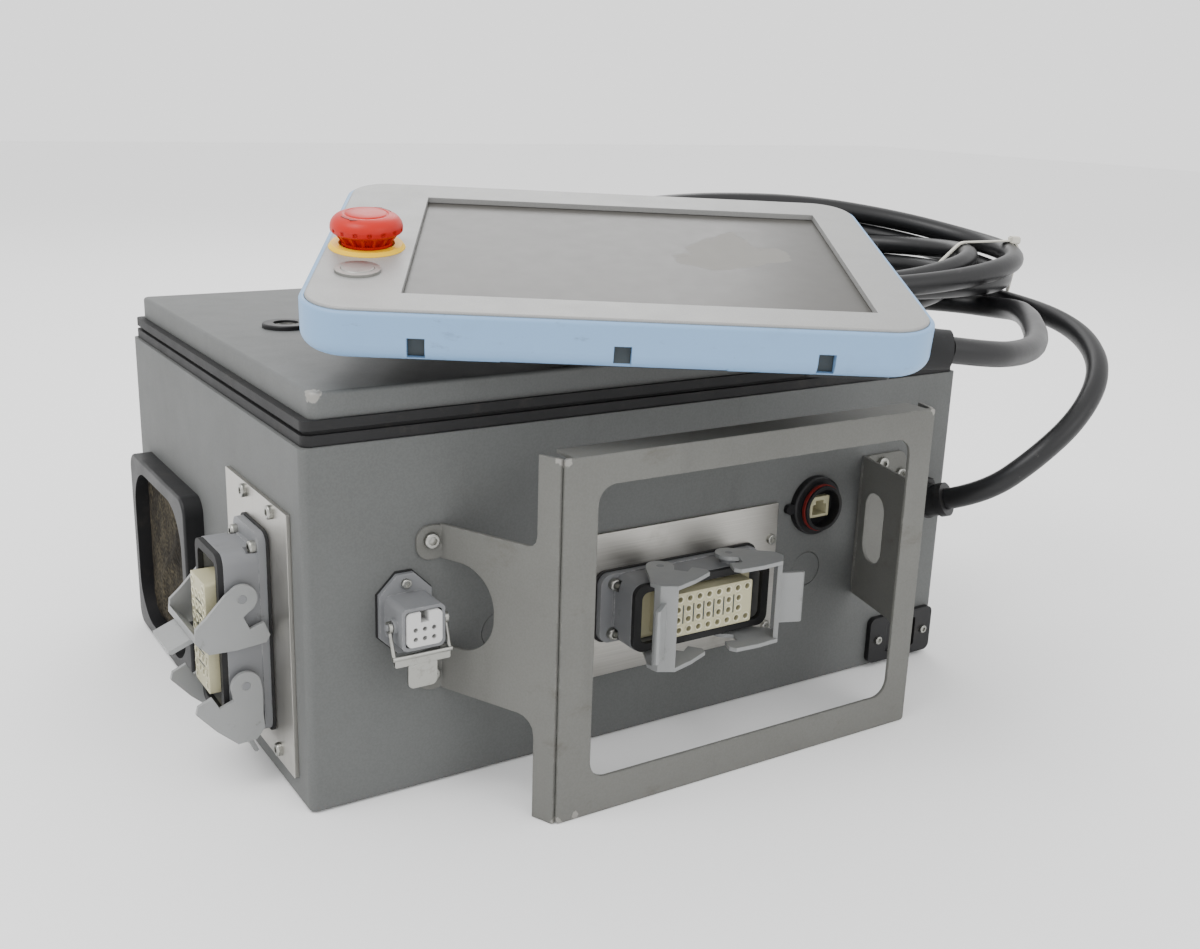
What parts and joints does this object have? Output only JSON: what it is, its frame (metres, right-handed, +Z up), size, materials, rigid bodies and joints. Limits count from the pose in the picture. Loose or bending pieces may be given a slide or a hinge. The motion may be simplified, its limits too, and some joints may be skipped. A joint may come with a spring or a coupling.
{
  "type": "robot arm control box with teach pendant",
  "caption": "Grey steel robot control box lying on its back, with folded stand, locking-lever connectors, teach pendant and coiled black cable.",
  "frame": {"origin": "centre of the tub's underside, which lies on the surface", "axes": "+Z up out of the door, +X to the right along the connector side, -Y out of the connector side"},
  "size_m": [0.6852, 0.4957, 0.3269],
  "materials": {
    "back_dark": "satin",
    "bezel_silver": "satin silver",
    "black_plastic": "matt",
    "black_rubber": "matt",
    "board_green": "coated circuit board",
    "cable_black": "satin jacket",
    "contact_ivory": "satin",
    "contact_white": "satin",
    "die_cast": "light grey coated die casting",
    "estop_red": "satin",
    "estop_yellow": "satin",
    "filter_foam": "dirty open foam",
    "grey_paint": "fine-textured powder coat",
    "lever_plastic": "satin",
    "red_seal": "matt",
    "rim_blue": "soft satin",
    "screen_film": "unlit display behind a satin film",
    "stainless": "brushed",
    "stand_paint": "fine-textured powder coat",
    "tie_white": "satin nylon",
    "zinc": "zinc plated"
  },
  "bodies": {
    "enclosure": {"cable_gland": "black_plastic", "computer_board": "board_green", "connector_screws": "zinc", "ethernet_coupler": "black_plastic", "ethernet_jack": "contact_ivory", "ethernet_seal_ring": "red_seal", "fan_filter_frame": "black_plastic", "fan_filter_mat": "filter_foam", "fan_housing": "black_plastic", "front_adapter_plate": "stainless", "front_connector_housing": "die_cast", "front_contact_insert": "contact_ivory", "hinge_lower_halves": "zinc", "housing_gaskets": "black_rubber", "knockout_blanks": "grey_paint", "mains_gasket": "black_rubber", "mains_housing": "die_cast", "mains_insert": "contact_white", "mounting_plate": "zinc", "mouth_seals": "black_rubber", "panel_screws": "zinc", "pass_through_plate": "black_plastic", "power_supply_12v": "zinc", "power_supply_48v": "zinc", "safety_board": "board_green", "side_adapter_plate": "stainless", "side_connector_housing": "die_cast", "side_contact_insert": "contact_ivory", "stand_bracket": "stand_paint", "tub": "grey_paint"},
    "door": {"door_panel": "grey_paint", "door_gasket": "black_rubber", "door_lock_housing": "black_plastic", "hinge_upper_halves": "zinc", "pendant_rim": "rim_blue", "pendant_bezel": "bezel_silver", "pendant_back_shell": "back_dark", "touch_screen": "screen_film", "lcd_panel": "zinc", "pendant_board": "board_green", "estop_collar": "estop_yellow", "power_button_ring": "black_plastic", "pendant_cable_boot": "black_rubber", "cable_pendant_lead": "cable_black", "cable_coil": "cable_black", "cable_tie": "tie_white", "cable_free_loop": "cable_black"},
    "door_lock": {"door_lock_core": "zinc", "door_lock_cam": "zinc"},
    "fan_rotor": {"fan_rotor": "black_plastic"},
    "front_lever_left": {"front_lever_left": "lever_plastic"},
    "front_lever_right": {"front_lever_right": "lever_plastic"},
    "side_lever_upper": {"side_lever_upper": "lever_plastic"},
    "side_lever_lower": {"side_lever_lower": "lever_plastic"},
    "mains_bail": {"mains_bail": "zinc"},
    "estop_stem": {"estop_stem": "black_plastic"},
    "estop_head": {"estop_head": "estop_red"},
    "power_button": {"power_button": "back_dark"}
  },
  "joints": [
    {"name": "door_hinge", "type": "hinge", "parent": "enclosure", "child": "door", "pos_m": [0.242, 0, 0.217], "axis": [0, 1, 0], "range_deg": [0, 85], "deforming": ["cable_free_loop"]},
    {"name": "door_lock_turn", "type": "hinge", "parent": "door", "child": "door_lock", "pos_m": [-0.1782, 0.0152, 0.2384], "axis": [0, 0, 1], "range_deg": [0, 90]},
    {"name": "fan_spin", "type": "hinge", "parent": "enclosure", "child": "fan_rotor", "pos_m": [-0.2375, 0.082, 0.0665], "axis": [-1, 0, 0], "continuous": true},
    {"name": "front_lever_left_turn", "type": "hinge", "parent": "enclosure", "child": "front_lever_left", "pos_m": [-0.0225, -0.1894, 0.09], "axis": [0, 0, 1], "range_deg": [-64, 34]},
    {"name": "front_lever_right_turn", "type": "hinge", "parent": "enclosure", "child": "front_lever_right", "pos_m": [0.0295, -0.1894, 0.09], "axis": [0, 0, -1], "range_deg": [-44, 34]},
    {"name": "side_lever_upper_turn", "type": "hinge", "parent": "enclosure", "child": "side_lever_upper", "pos_m": [-0.2575, -0.0996, 0.1165], "axis": [0, -1, 0], "range_deg": [-135, 0]},
    {"name": "side_lever_lower_turn", "type": "hinge", "parent": "enclosure", "child": "side_lever_lower", "pos_m": [-0.2575, -0.0996, 0.0645], "axis": [0, 1, 0], "range_deg": [0, 51]},
    {"name": "mains_bail_turn", "type": "hinge", "parent": "enclosure", "child": "mains_bail", "pos_m": [-0.1812, -0.1879, 0.1112], "axis": [-1, 0, 0], "range_deg": [0, 110]},
    {"name": "estop_press", "type": "slide", "parent": "door", "child": "estop_stem", "axis": [0.072, 0.1627, -0.984], "range_m": [0, 0.0025], "stiffness_N_per_m": 900},
    {"name": "estop_twist", "type": "hinge", "parent": "estop_stem", "child": "estop_head", "pos_m": [-0.16994, -0.09977, 0.31289], "axis": [-0.072, -0.1627, 0.984], "range_deg": [0, 45], "stiffness_Nm_per_rad": 0.02},
    {"name": "power_press", "type": "slide", "parent": "door", "child": "power_button", "axis": [0.072, 0.1627, -0.984], "range_m": [0, 0.0015], "stiffness_N_per_m": 400}
  ]
}
